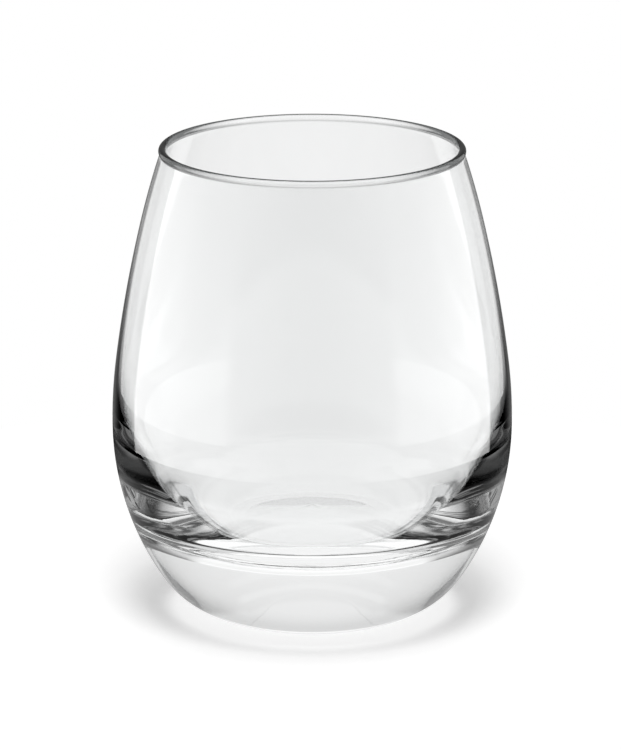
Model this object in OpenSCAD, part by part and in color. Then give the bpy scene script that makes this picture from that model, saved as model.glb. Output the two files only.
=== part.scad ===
// Stemless wine glass: one piece of clear glass, turned about the Z axis.
// Units are millimetres and degrees. The foot ring rests on z = 0 and the bowl opens upwards.
// The outside and the bowl are two outlines of tangent arcs, so the glass is thin at the mouth
// and grows into a thick clear base without an edge anywhere.

/* [Outside] */
// Height from the table to the top of the rim
glass_h = 99.4; // [90:0.2:115]
// Diameter at the widest part of the belly
belly_d = 84; // [76:1:94]
// Height of the widest part of the belly above the table
belly_h = 40.4; // [36:0.2:47]
// Radius of the side, the arc below the belly
side_r = 58; // [50:1:68]
// Radius of the heel, which rounds the side in towards the foot
heel_r = 19.4; // [16:0.2:23]
// Radius of the shoulder, the arc just above the belly
shoulder_r = 106; // [90:1:125]
// Angle that the shoulder turns before the long upper arc takes over
shoulder_turn = 7.5; // [5:0.5:9]
// Outside diameter where the lip starts, the last of the wall, which turns in a little faster
lip_d = 71.1; // [66:0.1:76]
// Height of the lip, from its start to the middle of the bead
lip_len = 14.6; // [11:0.2:18]
// Outside diameter of the wall at the mouth, under the bead
mouth_d = 62.7; // [56:0.1:68]

/* [Wall and rim] */
// Thickness of the wall at the mouth, under the bead
mouth_wall = 1.05; // [0.9:0.05:1.4]
// Thickness of the wall beside the widest part of the bowl
belly_wall = 1.7; // [1.5:0.05:2.6]
// Diameter of the fire-polished bead along the rim
bead_d = 1.6; // [1.5:0.05:2]
// Share of what the bead is thicker than the wall by, that stands proud of its outside
bead_outer_share = 0.95; // [0.5:0.05:0.95]

/* [Bowl] */
// Thickness of the base at its centre, from the table to the floor of the bowl
base_t = 16.4; // [14:0.2:20]
// How much higher the widest part of the bowl lies than that of the belly
bowl_rise = 5.5; // [4:0.5:7]
// Radius of the side of the bowl below its widest part
bowl_side_r = 39.5; // [36:0.5:44]
// Radius of the rounding between the side and the floor of the bowl
bowl_corner_r = 12; // [9:0.5:15]
// Radius of the dished floor of the bowl
bowl_floor_r = 110; // [90:5:160]

/* [Foot] */
// How deep the flat of the foot is cut into the round of the heel
foot_cut = 0.6; // [0.3:0.1:1.2]
// Radius of the toe, the small round between the heel and the flat of the foot
toe_r = 1.4; // [0.8:0.1:2.5]
// Width of the flat ring that the glass stands on
ring_w = 3.4; // [2.5:0.1:6]
// Height of the hollow under the foot, at its centre
hollow_h = 1.2; // [0.6:0.1:2]

/* [Hidden] */
// Steps along each arc of an outline, and facets of the bead and of the full turn
arc_steps = 10;
bead_facets = 48;
turn_facets = 180;

belly_r = belly_d / 2;
mouth_r = mouth_d / 2;
bead_r = bead_d / 2;
// The wall ends level with the middle of the bead, which stands proud of it, mostly outside
mouth_h = glass_h - bead_r;
bead_proud = bead_outer_share * (bead_d - mouth_wall);
bead_ring_r = mouth_r + bead_proud - bead_r;

// The side stands upright at the belly, the heel leaves it smoothly, and the toe leads it onto the table
side_c = [belly_r - side_r, belly_h];
heel_h = heel_r - foot_cut;
heel_c = [side_c[0] + sqrt((side_r - heel_r) ^ 2 - (belly_h - heel_h) ^ 2), heel_h];
toe_c = [heel_c[0] + sqrt((heel_r - toe_r) ^ 2 - (heel_h - toe_r) ^ 2), toe_r];
foot_r = toe_c[0];
ring_inner_r = foot_r - ring_w;

// The shoulder leaves the belly upright too, and the long upper arc takes over where it ends
shoulder_c = [belly_r - shoulder_r, belly_h];
shoulder_end = shoulder_c + shoulder_r * [cos(shoulder_turn), sin(shoulder_turn)];
lip_start = [lip_d / 2, mouth_h - lip_len];
// The long arc turns twice as far as its chord, and the lip goes on in the direction it ends in
long_heading = 90 + shoulder_turn;
lip_heading = 2 * heading(shoulder_end, lip_start) - long_heading;
upper_line = concat([[belly_r, belly_h]],
                    arc(shoulder_c, shoulder_r, 0, shoulder_turn),
                    bend(shoulder_end, long_heading, lip_start),
                    bend(lip_start, lip_heading, [mouth_r, mouth_h]));
radius_at_height = [for (p = upper_line) [p[1], p[0]]];

// The bowl is widest where its wall stands upright, while the outside already leans in there
bowl_belly_h = belly_h + bowl_rise;
bowl_belly_r = lookup(bowl_belly_h, radius_at_height) - belly_wall;
bowl_upper_h = mouth_h - bowl_belly_h;
outside_lean = bowl_rise / sqrt(shoulder_r ^ 2 - bowl_rise ^ 2);
// The wall's extra thickness dies away upwards just fast enough to keep the bowl upright there
thinning_power = outside_lean * bowl_upper_h / (belly_wall - mouth_wall);

// The corner of the bowl touches its side and its floor from within
bowl_side_c = [bowl_belly_r - bowl_side_r, bowl_belly_h];
bowl_floor_c = [0, base_t + bowl_floor_r];
bowl_corner_c = touching_centre(bowl_side_c, bowl_side_r - bowl_corner_r,
                                bowl_floor_c, bowl_floor_r - bowl_corner_r);

// The hollow under the foot is part of a ball that passes through the inner edge of the ring
hollow_r = (ring_inner_r ^ 2 + hollow_h ^ 2) / (2 * hollow_h);
hollow_c = [0, hollow_h - hollow_r];

// Direction from one point to another
function heading(from, to) = atan2(to[1] - from[1], to[0] - from[0]);

// Points on an arc about a centre, from one angle to another, without its first point
function arc(centre, r, from, to) =
    [for (i = [1 : arc_steps])
        let (a = from + (to - from) * i / arc_steps)
        centre + r * [cos(a), sin(a)]];

// Points on the arc that leaves a point in a direction and passes through another point.
// Its chords grow as the sine of the angle turned, whichever way it bends.
function bend(start, direction, end) =
    let (turn = heading(start, end) - direction,
         chord = norm(end - start))
    [for (i = [1 : arc_steps])
        let (a = turn * i / arc_steps,
             length = turn == 0 ? chord * i / arc_steps : chord * sin(a) / sin(turn))
        start + length * [cos(direction + a), sin(direction + a)]];

// The point, low and to the right, at the given distances from two centres
function touching_centre(p, from_p, q, from_q) =
    let (d = norm(q - p),
         along = (from_p ^ 2 - from_q ^ 2 + d ^ 2) / (2 * d),
         aside = sqrt(from_p ^ 2 - along ^ 2),
         u = (q - p) / d)
    p + along * u + aside * [u[1], -u[0]];

// Wall of the bowl above its widest part: the outside, less the thickness of the wall
function bowl_upper_line() =
    [for (i = [1 : arc_steps])
        let (height_share = i / arc_steps,
             z = bowl_belly_h + bowl_upper_h * height_share,
             extra_share = (1 - height_share) ^ thinning_power,
             t = mouth_wall + (belly_wall - mouth_wall) * extra_share)
        [lookup(z, radius_at_height) - t, z]];

// Bowl, from the middle of its floor up to the mouth
function bowl_line() =
    concat([[0, base_t]],
           arc(bowl_floor_c, bowl_floor_r, -90, heading(bowl_floor_c, bowl_corner_c)),
           arc(bowl_corner_c, bowl_corner_r, heading(bowl_floor_c, bowl_corner_c),
               heading(bowl_side_c, bowl_corner_c)),
           arc(bowl_side_c, bowl_side_r, heading(bowl_side_c, bowl_corner_c), 0),
           bowl_upper_line());

// Outside, from the foot up to the belly; the upper line follows it
function lower_line() =
    concat([[foot_r, 0]],
           arc(toe_c, toe_r, -90, heading(heel_c, toe_c)),
           arc(heel_c, heel_r, heading(heel_c, toe_c), heading(side_c, heel_c)),
           arc(side_c, side_r, heading(side_c, heel_c), 0));

// Hollow under the foot, from its middle to the inner edge of the ring
function hollow_line() =
    concat([[0, hollow_h]],
           arc(hollow_c, hollow_r, 90, heading(hollow_c, [ring_inner_r, 0])));

function without_first(points) = [for (i = [1 : len(points) - 1]) points[i]];

function backwards(points) = [for (i = [len(points) - 1 : -1 : 0]) points[i]];

// Half of the glass, cut through its middle, without the bead
module wall_section() {
    polygon(concat(hollow_line(), lower_line(), without_first(upper_line), backwards(bowl_line())));
}

// The flame draws the rim into a full round, thicker than the wall that it ends
module bead_section() {
    translate([bead_ring_r, mouth_h])
        circle(r = bead_r, $fn = bead_facets);
}

module stemless_glass() {
    color([0.93, 0.96, 0.96, 0.35])
        rotate_extrude($fn = turn_facets)
            union() {
                wall_section();
                bead_section();
            }
}

stemless_glass();
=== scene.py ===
import math

import bmesh
import bpy
from mathutils import Matrix, Vector, noise


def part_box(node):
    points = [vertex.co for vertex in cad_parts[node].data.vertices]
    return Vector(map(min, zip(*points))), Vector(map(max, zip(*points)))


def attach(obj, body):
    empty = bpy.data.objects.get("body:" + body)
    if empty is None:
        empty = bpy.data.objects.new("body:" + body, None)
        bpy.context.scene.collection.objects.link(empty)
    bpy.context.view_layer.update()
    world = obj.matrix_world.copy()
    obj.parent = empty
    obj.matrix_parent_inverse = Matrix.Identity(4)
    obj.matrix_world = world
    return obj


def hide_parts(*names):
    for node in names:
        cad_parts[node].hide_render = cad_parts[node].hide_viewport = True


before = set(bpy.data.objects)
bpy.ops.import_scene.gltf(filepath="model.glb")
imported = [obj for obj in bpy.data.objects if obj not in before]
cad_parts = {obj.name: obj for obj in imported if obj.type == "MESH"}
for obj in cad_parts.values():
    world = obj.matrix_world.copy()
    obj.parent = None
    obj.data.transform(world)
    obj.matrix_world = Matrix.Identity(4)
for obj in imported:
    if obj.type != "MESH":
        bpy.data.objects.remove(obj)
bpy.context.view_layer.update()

MM = 0.001
QUARTER_TURN = math.pi / 2
FULL_TURN = 2 * math.pi
GLASS = "stemless_glass"

# Sizes of the glass. Its height and its belly are the frame's, and the rest is as in the solid,
# apart from two rounds that the solid leaves out: where the wall flares into the bead, and on the
# inner edge of the foot ring.
_, box_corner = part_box(GLASS)
GLASS_H = box_corner.z
BELLY_R = box_corner.x
BELLY_H = 40.4 * MM
SIDE_R = 58 * MM
HEEL_R = 19.4 * MM
FOOT_CUT = 0.6 * MM
TOE_R = 1.4 * MM
SHOULDER_R = 106 * MM
SHOULDER_TURN = math.radians(7.5)
LIP_R = 35.55 * MM
LIP_LEN = 14.6 * MM
MOUTH_R = 31.35 * MM
MOUTH_WALL = 1.05 * MM
BELLY_WALL = 1.7 * MM
BEAD_R = 0.8 * MM
BEAD_PROUD = 0.52 * MM
FLARE_R = 0.25 * MM
BASE_T = 16.4 * MM
BOWL_RISE = 5.5 * MM
BOWL_SIDE_R = 39.5 * MM
BOWL_CORNER_R = 12 * MM
BOWL_FLOOR_R = 110 * MM
RING_W = 3.4 * MM
RING_EDGE_R = 0.6 * MM
HOLLOW_H = 1.2 * MM

# Steps along the outline, along its small rounds and round the full turn
ARC_STEP = 1.0 * MM
BEAD_STEP = 0.12 * MM
LEAST_ARC_STEPS = 4
TURN_STEPS = 240
# Points of the outline, and of the spun mesh, that are closer than these are one
SAME_POINT = 0.01 * MM
SAME_VERT = 0.002 * MM

# Waves that forming leaves low in the bowl: deep ones in the mesh, and fine ones in its finish.
# They are drawn out round the glass, and fade out upwards.
WAVE_H = 0.03 * MM
WAVE_PITCH = 4 * MM
WAVES_ROUND = 2
WAVE_TOP = 27 * MM
WAVE_FADE = 7 * MM
FINE_H = 0.012 * MM
FINE_PITCH = 1.3 * MM
FINE_DETAIL = 2
NOISE_MIDDLE = 0.5
# Nearest to the axis that a turn round it is worked out
AXIS_GAP = 0.1 * MM

# Levels, from here on, are lists of stops: a place on the scale that the comment names, and the level there.

# Colours of the glass: clear, and painted shade on the rim: dark where the bead is seen edge on, and a
# painted grey line of shade along the bead's neck.
# The bead and its neck are found by height above the table, in millimetres.
GLASS_IOR = 1.51
CLEAR = (0.945, 0.95, 0.95, 1)
# Dark of the painted shade on the bead seen edge on, and grey of the painted shade line along its neck
EDGE_DARK = (0.02, 0.022, 0.022, 1)
NECK_SHADE_GREY = (0.5, 0.51, 0.51, 1)
EDGE_FACING = [(0, 0), (0.12, 0), (0.42, 1), (1, 1)]
BEAD_HEIGHTS = [(0, 0), (98.1, 0), (98.3, 1), (100, 1)]
NECK_HEIGHTS = [(0, 0), (97.75, 0), (97.88, 1), (97.98, 1), (98.1, 0), (100, 0)]

# Scuffs that tables leave on the foot ring: speckles of roughness, close to the table
SCUFF_PITCH = 0.5 * MM
SCUFF_SPECKS = [(0, 0), (0.56, 0), (0.66, 1), (1, 1)]
SCUFF_HEIGHTS = [(0, 1), (0.1, 1), (0.3, 0), (10, 0)]
SCUFF_ROUGHNESS = 0.12

# Floor. It lies just under the foot, so that the two never share a face.
FLOOR_R = 150 * MM
FLOOR_GAP = 0.05 * MM
FLOOR_GREY = (0.8, 0.8, 0.8, 1)
# Painted light and shade that it adds to its own grey for the camera, by the distance from the glass's axis
# in millimetres: a pool of light round the foot and a deeper ring of shadow beyond it
FLOOR_PAINTED_LIGHT_AND_SHADE = [(0, 0.8), (21, 0.84), (23, 0.8), (29, 0.74), (32, 0.5), (34, 0.47), (40, 0.55),
             (45, 0.6), (150, 0.6)]
# How it shows straight through the glass, and mirrored off its outside by that distance
FLOOR_THROUGH = 1.0
FLOOR_OUTSIDE = [(0, 0.9), (22, 0.9), (28, 0.4), (45, 0.3), (95, 0.3), (105, 0.0), (150, 0.0)]
# How it shows mirrored within the glass: white close by, and further out by the turn from straight
# ahead in degrees, with darker rings that stop short of straight ahead
FLOOR_NEAR = [(0, 1), (40, 1), (46, 0), (150, 0)]
FLOOR_TURN = [(0, 1), (42, 1), (50, 0.75), (62, 0.45), (70, 0.12), (76, 0.01), (92, 0.01),
              (104, 0.12), (180, 0.12)]
FLOOR_RINGS = [(0, 1), (58, 1), (60, 0.35), (63, 0.35), (65, 1), (68, 1), (70, 0.4), (74, 0.4),
               (76, 1), (86, 1), (89, 0.4), (94, 0.4), (97, 1), (100, 1), (106, 0.15), (150, 0.15)]
RING_GAP = [(0, 1), (12, 1), (20, 0), (180, 0)]

# Studio, by the rise above the horizon from -90 to 90 degrees and the turn from straight ahead from
# 0 to 180. To the camera it is white, and light that matt faces scatter sees one plain level.
WHITE = (1, 1, 1, 1)
BACKGROUND_LEVEL = 1.0
PLAIN_LEVEL = 0.2
# Seen straight through the glass, the backdrop darkens upwards
BACKDROP = [(-90, 1), (7, 1), (14, 0.93), (24, 0.9), (30, 0.83), (36, 0.75), (50, 0.66), (90, 0.6)]
# Mirrored off its outside, a bright panel stands at each side, with a dimmer wing on the side ahead
PANEL_LEVEL = 3.2
PANEL_TURN = [(0, 0.06), (20, 0.05), (30, 0.01), (36, 0), (56, 0), (58, 1), (85, 0.88),
              (105, 0.7), (135, 0.41), (165, 0.16), (180, 0.12)]
PANEL_RISE = [(-90, 0), (-24, 0), (-18, 1), (90, 1)]
WING_TURN = [(0, 0), (24, 0), (27, 0.7), (38, 0.9), (56, 1), (58, 0), (180, 0)]
WING_RISE = [(-90, 0), (-14, 0), (-11, 1), (90, 1)]
# Mirrored within it, the room is white ahead, over a wider turn high up, and dark aside and behind
AHEAD_LOW = [(0, 1), (28, 1), (34, 0), (180, 0)]
AHEAD_HIGH = [(0, 1), (46, 1), (54, 0), (180, 0)]
HIGH = [(-90, 0), (33, 0), (37, 1), (90, 1)]
BEHIND = [(0, 0), (126, 0), (132, 1), (180, 1)]
ROOM_AHEAD = [(-90, 0.97), (0, 0.97), (8, 1.15), (90, 1.15)]
ROOM_ASIDE = [(-90, 1), (-6, 1), (4, 0.7), (12, 0.15), (43, 0.15), (45, 0.06), (52, 0.06),
              (56, 1.1), (90, 1.1)]
ROOM_BEHIND = [(-90, 0.1), (0, 0.04), (10, 0.01), (41, 0.01), (42, 0.6), (44, 0.6), (45, 0.02),
               (48, 0.02), (49, 0.9), (51, 0.9), (52, 0.04), (55, 0.04), (57, 0.9), (90, 1)]

# What the room shows also depends on how often light was mirrored and passed a face of the glass.
# Both are whole numbers, so a limit lies halfway between two of them.
ONCE_OR_MORE = 0.5
# Low and ahead, light with fewer mirrorings than this sees a grey band
SHADE_MIRRORINGS = 3.5
SHADE_LEVEL = 0.36
SHADE_TURN = [(0, 1), (23.8, 1), (25.2, 0), (180, 0)]
SHADE_RISE = [(-90, 1), (-5, 1), (0, 0), (90, 0)]
# Light with more mirrorings than this sees a darker room, whose back reaches further forward
DEEP_MIRRORINGS = 4.5
DEEP_BEHIND = [(0, 0), (88, 0), (98, 1), (180, 1)]
DEEP_ROOM_ASIDE = [(-90, 0.45), (0, 0.45), (8, 0.5), (20, 0.3), (26, 0.12), (34, 0.35), (42, 0.3),
                   (44, 0.05), (52, 0.05), (56, 1.1), (90, 1.1)]
DEEP_ROOM_BEHIND = [(-90, 0.3), (2, 0.2), (6, 0.06), (16, 0.04), (20, 0), (33, 0), (34, 0.25),
                    (37, 0.25), (38, 0.05), (41, 0.05), (42, 0.35), (44, 0.35), (45, 0.05),
                    (47, 0.05), (48, 0.6), (50, 0.6), (51, 0.1), (54, 0.1), (57, 0.85), (90, 1)]
# Light with a number of mirrorings between these two, and more passes than this, has crossed the bowl
# and sees one pale level
BOWL_MIRRORINGS_FROM = 1.5
BOWL_MIRRORINGS_TO = 5.5
BOWL_PASSES = 3.5
BOWL_LEVEL = 0.85

# Thick glass mirrors light many times over before it leaves
LIGHT_BOUNCES = 16

# Camera: the point on the axis that it is placed from, and where it looks
CAMERA_FROM = Vector((0, 0, 48.4 * MM))
CAMERA_DISTANCE = 940 * MM
CAMERA_RISE = math.radians(15.9)
CAMERA_LOOK = Vector((-0.36 * MM, 0, 50.22 * MM))
CAMERA_SENSOR = 36
CAMERA_LENS = 214.9

# Soft light from above and a little in front
OVERHEAD_SPREAD = math.radians(20)
OVERHEAD_STRENGTH = 1.2
OVERHEAD_HEADING = Vector((0, 0.375, -1))


def arc(centre, radius, start, end, step=ARC_STEP):
    """Points on an arc from one angle to another, both ends included."""
    count = max(LEAST_ARC_STEPS, round(abs(end - start) * radius / step))
    angles = [start + (end - start) * i / count for i in range(count + 1)]
    return [centre + radius * Vector((math.cos(a), math.sin(a))) for a in angles]


def heading(start, end):
    """Angle of the way from one point to another."""
    return math.atan2(end.y - start.y, end.x - start.x)


def touching_centre(p, from_p, q, from_q):
    """The point, low and to the right, at the given distances from two centres."""
    d = (q - p).length
    along = (from_p ** 2 - from_q ** 2 + d ** 2) / (2 * d)
    aside = math.sqrt(from_p ** 2 - along ** 2)
    u = (q - p) / d
    return p + along * u + aside * Vector((u.y, -u.x))


def joined(*runs):
    """Runs of points as one outline, without the points where they meet twice."""
    points = []
    for run in runs:
        points += [p for p in run if not points or (p - points[-1]).length > SAME_POINT]
    return points


def long_arc(start, direction, end):
    """Centre, radius and end angles of the arc that leaves a point in a direction and ends at another."""
    turn = heading(start, end) - direction
    radius = (end - start).length / (2 * math.sin(turn))
    centre = start + radius * Vector((-math.sin(direction), math.cos(direction)))
    first = direction - QUARTER_TURN
    return centre, radius, first, first + 2 * turn


def bead_blend(centre, corner, along, outwards):
    """Centre and end of the small round that leads a straight face of the wall into the bead."""
    across = FLARE_R - outwards.dot(centre - corner)
    back = math.sqrt((BEAD_R + FLARE_R) ** 2 - across ** 2)
    middle = centre + outwards * across - along * back
    return middle, middle - outwards * FLARE_R


def outline():
    """Half of the glass, cut through its middle: points from the foot round to the floor of the bowl.

    The second value is the place in them where the bowl begins.
    """
    # Outside below the belly: the side, the heel and the toe touch in turn, and the toe lands on the table
    mouth_h = GLASS_H - BEAD_R
    side_c = Vector((BELLY_R - SIDE_R, BELLY_H))
    heel_h = HEEL_R - FOOT_CUT
    heel_c = Vector((side_c.x + math.sqrt((SIDE_R - HEEL_R) ** 2 - (BELLY_H - heel_h) ** 2), heel_h))
    toe_c = Vector((heel_c.x + math.sqrt((HEEL_R - TOE_R) ** 2 - (heel_h - TOE_R) ** 2), TOE_R))
    toe_turn = heading(heel_c, toe_c)
    heel_turn = heading(side_c, heel_c)
    lower = joined(arc(toe_c, TOE_R, -QUARTER_TURN, toe_turn, BEAD_STEP),
                   arc(heel_c, HEEL_R, toe_turn, heel_turn),
                   arc(side_c, SIDE_R, heel_turn, 0))

    # Hollow under the foot, and the round that leads it onto the ring
    ring_in = toe_c.x - RING_W
    hollow_r = (ring_in ** 2 + HOLLOW_H ** 2) / (2 * HOLLOW_H)
    hollow_c = Vector((0, HOLLOW_H - hollow_r))
    edge_x = math.sqrt((hollow_r + RING_EDGE_R) ** 2 - (RING_EDGE_R - hollow_c.y) ** 2)
    edge_c = Vector((edge_x, RING_EDGE_R))
    foot = joined(arc(hollow_c, hollow_r, QUARTER_TURN, heading(hollow_c, edge_c)),
                  arc(edge_c, RING_EDGE_R, heading(edge_c, hollow_c), -QUARTER_TURN, BEAD_STEP))

    # Outside above the belly: the shoulder, the long upper arc and the lip
    shoulder_c = Vector((BELLY_R - SHOULDER_R, BELLY_H))
    shoulder = arc(shoulder_c, SHOULDER_R, 0, SHOULDER_TURN)
    lip_start = Vector((LIP_R, mouth_h - LIP_LEN))
    mouth = Vector((MOUTH_R, mouth_h))
    upper_c, upper_r, upper_turn, lip_turn = long_arc(shoulder[-1], QUARTER_TURN + SHOULDER_TURN, lip_start)
    lip_c, lip_r, lip_turn, mouth_turn = long_arc(lip_start, QUARTER_TURN + lip_turn, mouth)

    def outside_r(z):
        tops = [(shoulder[-1].y, shoulder_c, SHOULDER_R),
                (lip_start.y, upper_c, upper_r),
                (GLASS_H, lip_c, lip_r)]
        _, centre, radius = next(top for top in tops if z <= top[0])
        return centre.x + math.copysign(math.sqrt(radius ** 2 - (z - centre.y) ** 2), radius)

    # Bead, and the two rounds that lead the faces of the wall into it
    bead_c = Vector((MOUTH_R + BEAD_PROUD - BEAD_R, mouth_h))
    wall_up = Vector((-math.sin(mouth_turn), math.cos(mouth_turn)))
    wall_out = Vector((math.cos(mouth_turn), math.sin(mouth_turn)))
    inner_mouth = Vector((MOUTH_R - MOUTH_WALL, mouth_h))
    outer_c, outer_end = bead_blend(bead_c, mouth, wall_up, wall_out)
    inner_c, inner_end = bead_blend(bead_c, inner_mouth, wall_up, -wall_out)
    bead_end = heading(bead_c, inner_c) + FULL_TURN
    upper = joined(arc(upper_c, upper_r, upper_turn, lip_turn),
                   arc(lip_c, lip_r, lip_turn, heading(lip_c, outer_end)))
    bead = joined(arc(outer_c, FLARE_R, mouth_turn + math.pi, heading(outer_c, bead_c), BEAD_STEP),
                  arc(bead_c, BEAD_R, heading(bead_c, outer_c), bead_end, BEAD_STEP),
                  arc(inner_c, FLARE_R, heading(inner_c, bead_c), mouth_turn, BEAD_STEP))

    # Bowl above its widest part: the outside, less a wall that thins just fast enough to start upright
    bowl_belly_h = BELLY_H + BOWL_RISE
    bowl_belly_r = outside_r(bowl_belly_h) - BELLY_WALL
    upper_h = mouth_h - bowl_belly_h
    lean = BOWL_RISE / math.sqrt(SHOULDER_R ** 2 - BOWL_RISE ** 2)
    power = lean * upper_h / (BELLY_WALL - MOUTH_WALL)

    def inside_r(z):
        share = max(0, 1 - (z - bowl_belly_h) / upper_h)
        return outside_r(z) - MOUTH_WALL - (BELLY_WALL - MOUTH_WALL) * share ** power

    count = round(upper_h / ARC_STEP)
    heights = [bowl_belly_h + (inner_end.y - bowl_belly_h) * i / count for i in range(count + 1)]
    bowl_upper = [Vector((inside_r(z), z)) for z in reversed(heights[:-1])]

    # Bowl below it: the side, the corner and the dished floor
    bowl_side_c = Vector((bowl_belly_r - BOWL_SIDE_R, bowl_belly_h))
    floor_c = Vector((0, BASE_T + BOWL_FLOOR_R))
    corner_c = touching_centre(bowl_side_c, BOWL_SIDE_R - BOWL_CORNER_R,
                               floor_c, BOWL_FLOOR_R - BOWL_CORNER_R)
    side_turn = heading(bowl_side_c, corner_c)
    floor_turn = heading(floor_c, corner_c)
    bowl_lower = joined(arc(bowl_side_c, BOWL_SIDE_R, 0, side_turn),
                        arc(corner_c, BOWL_CORNER_R, side_turn, floor_turn),
                        arc(floor_c, BOWL_FLOOR_R, floor_turn, -QUARTER_TURN))
    outside = joined(foot, lower, shoulder, upper, bead)
    return joined(outside, bowl_upper, bowl_lower), len(outside)


def wave_share(point):
    """How strongly the waves show at a point: fully on the floor of the bowl, not at all up its side."""
    return min(1, max(0, (WAVE_TOP - point.z) / WAVE_FADE))


def bowl_wave(point):
    """How far the waves of the bowl raise a point of it."""
    out = Vector((point.x, point.y))
    turn = out.normalized() * WAVES_ROUND
    along = (out.length + point.z) / WAVE_PITCH
    return WAVE_H * wave_share(point) * noise.noise(Vector((turn.x, turn.y, along)))


def spun_glass():
    """The whole glass, spun from its outline. Its attribute says how strongly the waves show."""
    bm = bmesh.new()
    bowl = bm.verts.layers.float.new("bowl")
    line, bowl_start = outline()
    verts = [bm.verts.new((p.x, 0, p.y)) for p in line]
    edges = [bm.edges.new(pair) for pair in zip(verts, verts[1:])]
    for vert in verts[bowl_start:]:
        vert[bowl] = 1
    bmesh.ops.spin(bm, geom=verts + edges, cent=(0, 0, 0), axis=(0, 0, 1),
                   angle=FULL_TURN, steps=TURN_STEPS, use_merge=True)
    bmesh.ops.remove_doubles(bm, verts=bm.verts, dist=SAME_VERT)
    bmesh.ops.recalc_face_normals(bm, faces=bm.faces)
    moves = [(vert, vert.normal * bowl_wave(vert.co)) for vert in bm.verts if vert[bowl]]
    for vert, move in moves:
        vert[bowl] = wave_share(vert.co)
        vert.co += move
    for face in bm.faces:
        face.smooth = True
    return linked(bm, GLASS + "_spun")


def linked(bm, name):
    """A mesh that was built, as an object of the scene."""
    mesh = bpy.data.meshes.new(name)
    bm.to_mesh(mesh)
    bm.free()
    piece = bpy.data.objects.new(name, mesh)
    bpy.context.scene.collection.objects.link(piece)
    return piece


def feed(tree, socket, value):
    """Link a socket to another node's output, or set it to a plain value."""
    if isinstance(value, bpy.types.NodeSocket):
        tree.links.new(value, socket)
    else:
        socket.default_value = value


def value_math(tree, operation, a, b=0.0):
    node = tree.nodes.new("ShaderNodeMath")
    node.operation = operation
    for socket, value in zip(node.inputs, (a, b)):
        feed(tree, socket, value)
    return node.outputs[0]


def mix(tree, factor, a, b):
    """One value where the factor is 0 and the other where it is 1."""
    node = tree.nodes.new("ShaderNodeMix")
    node.data_type = "FLOAT"
    for name, value in (("Factor", factor), ("A", a), ("B", b)):
        feed(tree, node.inputs[name], value)
    return node.outputs["Result"]


def mix_color(tree, factor, a, b):
    """One colour where the factor is 0 and the other where it is 1."""
    node = tree.nodes.new("ShaderNodeMix")
    node.data_type = "RGBA"
    feed(tree, node.inputs["Factor"], factor)
    colors = [socket for socket in node.inputs if socket.type == "RGBA"]
    for socket, value in zip(colors, (a, b)):
        feed(tree, socket, value)
    return next(socket for socket in node.outputs if socket.type == "RGBA")


def levels(tree, source, stops):
    """Levels between stops, whose places run from one end of the source's scale to the other."""
    low = stops[0][0]
    high = stops[-1][0]
    share = tree.nodes.new("ShaderNodeMapRange")
    share.inputs["From Min"].default_value = low
    share.inputs["From Max"].default_value = high
    feed(tree, share.inputs["Value"], source)
    node = tree.nodes.new("ShaderNodeValToRGB")
    elements = node.color_ramp.elements
    # New elements start in the middle, and all are put in place below
    while len(elements) < len(stops):
        elements.new(0.5)
    for element, (place, level) in zip(elements, stops):
        element.position = (place - low) / (high - low)
        element.color = (level, level, level, 1)
    feed(tree, node.inputs["Fac"], share.outputs["Result"])
    return node.outputs["Color"]


def split_xyz(tree, vector):
    node = tree.nodes.new("ShaderNodeSeparateXYZ")
    feed(tree, node.inputs[0], vector)
    return node.outputs


def length_of(tree, vector):
    node = tree.nodes.new("ShaderNodeVectorMath")
    node.operation = "LENGTH"
    feed(tree, node.inputs[0], vector)
    return node.outputs["Value"]


def millimetres(tree, metres):
    return value_math(tree, "DIVIDE", metres, MM)


def group(name, inputs, outputs):
    """An empty node group and its inner ends, with sockets made from names and kinds."""
    tree = bpy.data.node_groups.new(name, "ShaderNodeTree")
    for socket, kind in inputs:
        tree.interface.new_socket(name=socket, in_out="INPUT", socket_type=kind)
    for socket, kind in outputs:
        tree.interface.new_socket(name=socket, in_out="OUTPUT", socket_type=kind)
    return tree, tree.nodes.new("NodeGroupInput"), tree.nodes.new("NodeGroupOutput")


def place_group(tree, made, **values):
    """A node group placed in a material, with its inputs given by name."""
    node = tree.nodes.new("ShaderNodeGroup")
    node.node_tree = made
    for name, value in values.items():
        feed(tree, node.inputs[name.replace("_", " ")], value)
    return node


def forming_waves():
    """Group: fine waves drawn out round the glass, as a height."""
    tree, start, end = group("forming_waves",
                             [("Place", "NodeSocketVector"), ("Share", "NodeSocketFloat"),
                              ("Pitch", "NodeSocketFloat"), ("Waves round", "NodeSocketFloat")],
                             [("Height", "NodeSocketFloat")])
    x, y, z = split_xyz(tree, start.outputs["Place"])
    flat = tree.nodes.new("ShaderNodeCombineXYZ")
    feed(tree, flat.inputs["X"], x)
    feed(tree, flat.inputs["Y"], y)
    out = length_of(tree, flat.outputs[0])
    turn = value_math(tree, "DIVIDE", start.outputs["Waves round"],
                      value_math(tree, "MAXIMUM", out, AXIS_GAP))
    along = value_math(tree, "DIVIDE", value_math(tree, "ADD", out, z), start.outputs["Pitch"])
    spot = tree.nodes.new("ShaderNodeCombineXYZ")
    feed(tree, spot.inputs["X"], value_math(tree, "MULTIPLY", x, turn))
    feed(tree, spot.inputs["Y"], value_math(tree, "MULTIPLY", y, turn))
    feed(tree, spot.inputs["Z"], along)
    waves = tree.nodes.new("ShaderNodeTexNoise")
    feed(tree, waves.inputs["Vector"], spot.outputs[0])
    feed(tree, waves.inputs["Scale"], 1)
    feed(tree, waves.inputs["Detail"], FINE_DETAIL)
    height = value_math(tree, "SUBTRACT", waves.outputs["Fac"], NOISE_MIDDLE)
    feed(tree, end.inputs["Height"], value_math(tree, "MULTIPLY", height, start.outputs["Share"]))
    return tree


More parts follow.
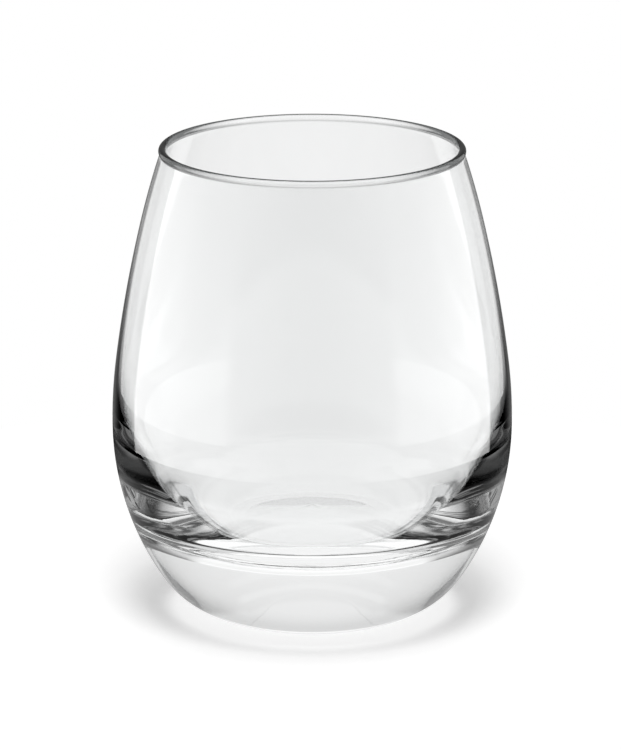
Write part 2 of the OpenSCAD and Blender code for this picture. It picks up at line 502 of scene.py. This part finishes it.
def handling_wear():
    """Group: a mask of the fine scuffs on the ring that the glass stands on."""
    tree, start, end = group("handling_wear",
                             [("Place", "NodeSocketVector"), ("Pitch", "NodeSocketFloat")],
                             [("Scuffs", "NodeSocketFloat")])
    _, _, z = split_xyz(tree, start.outputs["Place"])
    specks = tree.nodes.new("ShaderNodeTexNoise")
    feed(tree, specks.inputs["Vector"], start.outputs["Place"])
    feed(tree, specks.inputs["Scale"], value_math(tree, "DIVIDE", 1.0, start.outputs["Pitch"]))
    scuffs = levels(tree, specks.outputs["Fac"], SCUFF_SPECKS)
    low = levels(tree, millimetres(tree, z), SCUFF_HEIGHTS)
    feed(tree, end.inputs["Scuffs"], value_math(tree, "MULTIPLY", scuffs, low))
    return tree


def rim_shade():
    """Group: masks of the bead along the rim and of its neck, where it meets the wall, which say where shade
    is painted.
    """
    tree, start, end = group("rim_shade",
                             [("Place", "NodeSocketVector")],
                             [("Bead", "NodeSocketFloat"), ("Neck", "NodeSocketFloat")])
    _, _, z = split_xyz(tree, start.outputs["Place"])
    height = millimetres(tree, z)
    feed(tree, end.inputs["Bead"], levels(tree, height, BEAD_HEIGHTS))
    feed(tree, end.inputs["Neck"], levels(tree, height, NECK_HEIGHTS))
    return tree


def clear_glass():
    material = bpy.data.materials.new("clear_glass")
    material.use_nodes = True
    tree = material.node_tree
    shader = tree.nodes["Principled BSDF"]
    shader.inputs["IOR"].default_value = GLASS_IOR
    shader.inputs["Transmission Weight"].default_value = 1.0
    place = tree.nodes.new("ShaderNodeTexCoord").outputs["Object"]

    # Painted shade: dark edges of the bead and a grey line of shade along its neck
    rim = place_group(tree, rim_shade(), Place=place)
    edge = tree.nodes.new("ShaderNodeLayerWeight")
    facing = levels(tree, edge.outputs["Facing"], EDGE_FACING)
    bead_edge_shade = value_math(tree, "MULTIPLY", rim.outputs["Bead"], facing)
    tint_and_neck_shade = mix_color(tree, rim.outputs["Neck"], CLEAR, NECK_SHADE_GREY)
    feed(tree, shader.inputs["Base Color"], mix_color(tree, bead_edge_shade, tint_and_neck_shade, EDGE_DARK))

    # Scuffs on the foot ring
    wear = place_group(tree, handling_wear(), Place=place, Pitch=SCUFF_PITCH)
    scuffed = value_math(tree, "MULTIPLY", wear.outputs["Scuffs"], SCUFF_ROUGHNESS)
    feed(tree, shader.inputs["Roughness"], scuffed)

    # Fine waves in the bowl
    bowl = tree.nodes.new("ShaderNodeAttribute")
    bowl.attribute_name = "bowl"
    waves = place_group(tree, forming_waves(), Place=place, Share=bowl.outputs["Fac"],
                        Pitch=FINE_PITCH, Waves_round=WAVES_ROUND)
    bump = tree.nodes.new("ShaderNodeBump")
    feed(tree, bump.inputs["Distance"], FINE_H)
    feed(tree, bump.inputs["Height"], waves.outputs["Height"])
    feed(tree, shader.inputs["Normal"], bump.outputs["Normal"])
    return material


def ray_kinds(tree):
    """Masks of light that was mirrored, that has been in the glass, and that matt faces scattered."""
    path = tree.nodes.new("ShaderNodeLightPath")
    return [value_math(tree, "GREATER_THAN", path.outputs[depth], ONCE_OR_MORE)
            for depth in ("Glossy Depth", "Transmission Depth", "Diffuse Depth")]


def turn_from_ahead(tree, x, y):
    """Turn from straight ahead to either side, in degrees."""
    return value_math(tree, "DEGREES", value_math(tree, "ARCTAN2", value_math(tree, "ABSOLUTE", x), y))


def floor():
    """A round floor for the object to stand on, which isn't part of it."""
    bm = bmesh.new()
    bmesh.ops.create_circle(bm, cap_ends=True, segments=TURN_STEPS, radius=FLOOR_R,
                            matrix=Matrix.Translation((0, 0, -FLOOR_GAP)))
    piece = linked(bm, "floor")
    piece.data.materials.append(white_floor())


def white_floor():
    """White with the object's shadow to the camera, cast by the lamp and deepened by painted shade, with
    painted light round the foot, and set levels to light from the glass.
    """
    material = bpy.data.materials.new("white_floor")
    material.use_nodes = True
    tree = material.node_tree
    tree.nodes.clear()
    place = tree.nodes.new("ShaderNodeTexCoord").outputs["Object"]
    out = millimetres(tree, length_of(tree, place))
    x, y, _ = split_xyz(tree, place)
    turn = turn_from_ahead(tree, x, y)
    mirrored, inside, _ = ray_kinds(tree)

    def emission(level):
        node = tree.nodes.new("ShaderNodeEmission")
        feed(tree, node.inputs["Strength"], level)
        return node.outputs[0]

    diffuse = tree.nodes.new("ShaderNodeBsdfDiffuse")
    feed(tree, diffuse.inputs["Color"], FLOOR_GREY)
    lit = tree.nodes.new("ShaderNodeAddShader")
    feed(tree, lit.inputs[0], diffuse.outputs[0])
    # Glow that paints a pool of light round the foot and a darker ring of shadow beyond it
    feed(tree, lit.inputs[1], emission(levels(tree, out, FLOOR_PAINTED_LIGHT_AND_SHADE)))

    rings = value_math(tree, "MAXIMUM", levels(tree, out, FLOOR_RINGS), levels(tree, turn, RING_GAP))
    far = value_math(tree, "MULTIPLY", levels(tree, turn, FLOOR_TURN), rings)
    within = value_math(tree, "MAXIMUM", far, levels(tree, out, FLOOR_NEAR))
    reflection = mix(tree, inside, levels(tree, out, FLOOR_OUTSIDE), within)
    pick = tree.nodes.new("ShaderNodeMixShader")
    feed(tree, pick.inputs[0], value_math(tree, "MAXIMUM", mirrored, inside))
    feed(tree, pick.inputs[1], lit.outputs[0])
    feed(tree, pick.inputs[2], emission(mix(tree, mirrored, FLOOR_THROUGH, reflection)))
    output = tree.nodes.new("ShaderNodeOutputMaterial")
    feed(tree, output.inputs["Surface"], pick.outputs[0])
    return material


def studio():
    """The world: white to the camera, with other rooms for light that the glass passes or mirrors."""
    world = bpy.data.worlds.new("studio")
    bpy.context.scene.world = world
    world.use_nodes = True
    tree = world.node_tree
    x, y, z = split_xyz(tree, tree.nodes.new("ShaderNodeTexCoord").outputs["Generated"])
    turn = turn_from_ahead(tree, x, y)
    rise = value_math(tree, "DEGREES", value_math(tree, "ARCSINE", z))
    path = tree.nodes.new("ShaderNodeLightPath")
    mirrorings = path.outputs["Glossy Depth"]
    passes = path.outputs["Transmission Depth"]

    def by_turn(stops):
        return levels(tree, turn, stops)

    def by_rise(stops):
        return levels(tree, rise, stops)

    def both(a, b):
        return value_math(tree, "MULTIPLY", a, b)

    def more(count, limit):
        return value_math(tree, "GREATER_THAN", count, limit)

    def fewer(count, limit):
        return value_math(tree, "LESS_THAN", count, limit)

    # Off the outside of the glass
    panels = both(both(by_turn(PANEL_TURN), PANEL_LEVEL), by_rise(PANEL_RISE))
    panels = value_math(tree, "ADD", panels, both(by_turn(WING_TURN), by_rise(WING_RISE)))

    # Within the glass, after a few mirrorings
    ahead = value_math(tree, "MAXIMUM", by_turn(AHEAD_LOW), both(by_turn(AHEAD_HIGH), by_rise(HIGH)))
    room = mix(tree, ahead, by_rise(ROOM_ASIDE), by_rise(ROOM_AHEAD))
    room = mix(tree, by_turn(BEHIND), room, by_rise(ROOM_BEHIND))
    shade = both(both(by_turn(SHADE_TURN), by_rise(SHADE_RISE)), fewer(mirrorings, SHADE_MIRRORINGS))
    room = mix(tree, shade, room, SHADE_LEVEL)

    # After many of them, and across the bowl
    deep_room = mix(tree, by_turn(AHEAD_HIGH), by_rise(DEEP_ROOM_ASIDE), by_rise(ROOM_AHEAD))
    deep_room = mix(tree, by_turn(DEEP_BEHIND), deep_room, by_rise(DEEP_ROOM_BEHIND))
    room = mix(tree, more(mirrorings, DEEP_MIRRORINGS), room, deep_room)
    few = both(more(mirrorings, BOWL_MIRRORINGS_FROM), fewer(mirrorings, BOWL_MIRRORINGS_TO))
    room = mix(tree, both(few, more(passes, BOWL_PASSES)), room, BOWL_LEVEL)

    mirrored, inside, scattered = ray_kinds(tree)
    straight = mix(tree, inside, BACKGROUND_LEVEL, by_rise(BACKDROP))
    seen = mix(tree, mirrored, straight, mix(tree, inside, panels, room))
    background = tree.nodes["Background"]
    feed(tree, background.inputs["Color"], WHITE)
    feed(tree, background.inputs["Strength"], mix(tree, scattered, seen, PLAIN_LEVEL))


def pointed(item, direction):
    """Turn a camera or a lamp to look along a direction, and put it in the scene."""
    item.rotation_mode = "QUATERNION"
    item.rotation_quaternion = direction.to_track_quat("-Z", "Y")
    bpy.context.scene.collection.objects.link(item)


def camera():
    data = bpy.data.cameras.new("camera")
    data.sensor_width = CAMERA_SENSOR
    data.lens = CAMERA_LENS
    cam = bpy.data.objects.new("camera", data)
    back = Vector((0, -math.cos(CAMERA_RISE), math.sin(CAMERA_RISE)))
    cam.location = CAMERA_FROM + CAMERA_DISTANCE * back
    pointed(cam, CAMERA_LOOK - cam.location)
    bpy.context.scene.camera = cam


def overhead():
    """The light that throws the shadow on the floor. The glass itself doesn't show it."""
    data = bpy.data.lights.new("overhead", "SUN")
    data.angle = OVERHEAD_SPREAD
    data.energy = OVERHEAD_STRENGTH
    lamp = bpy.data.objects.new("overhead", data)
    lamp.visible_glossy = False
    lamp.visible_transmission = False
    lamp.visible_camera = False
    pointed(lamp, OVERHEAD_HEADING)


camera()
glass = spun_glass()
glass.data.materials.append(clear_glass())
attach(glass, "root")
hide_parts(GLASS)
floor()
studio()
overhead()
bpy.context.scene.view_settings.view_transform = "Standard"
bpy.context.scene.cycles.max_bounces = LIGHT_BOUNCES
bpy.context.scene.cycles.glossy_bounces = LIGHT_BOUNCES
bpy.context.scene.cycles.transmission_bounces = LIGHT_BOUNCES
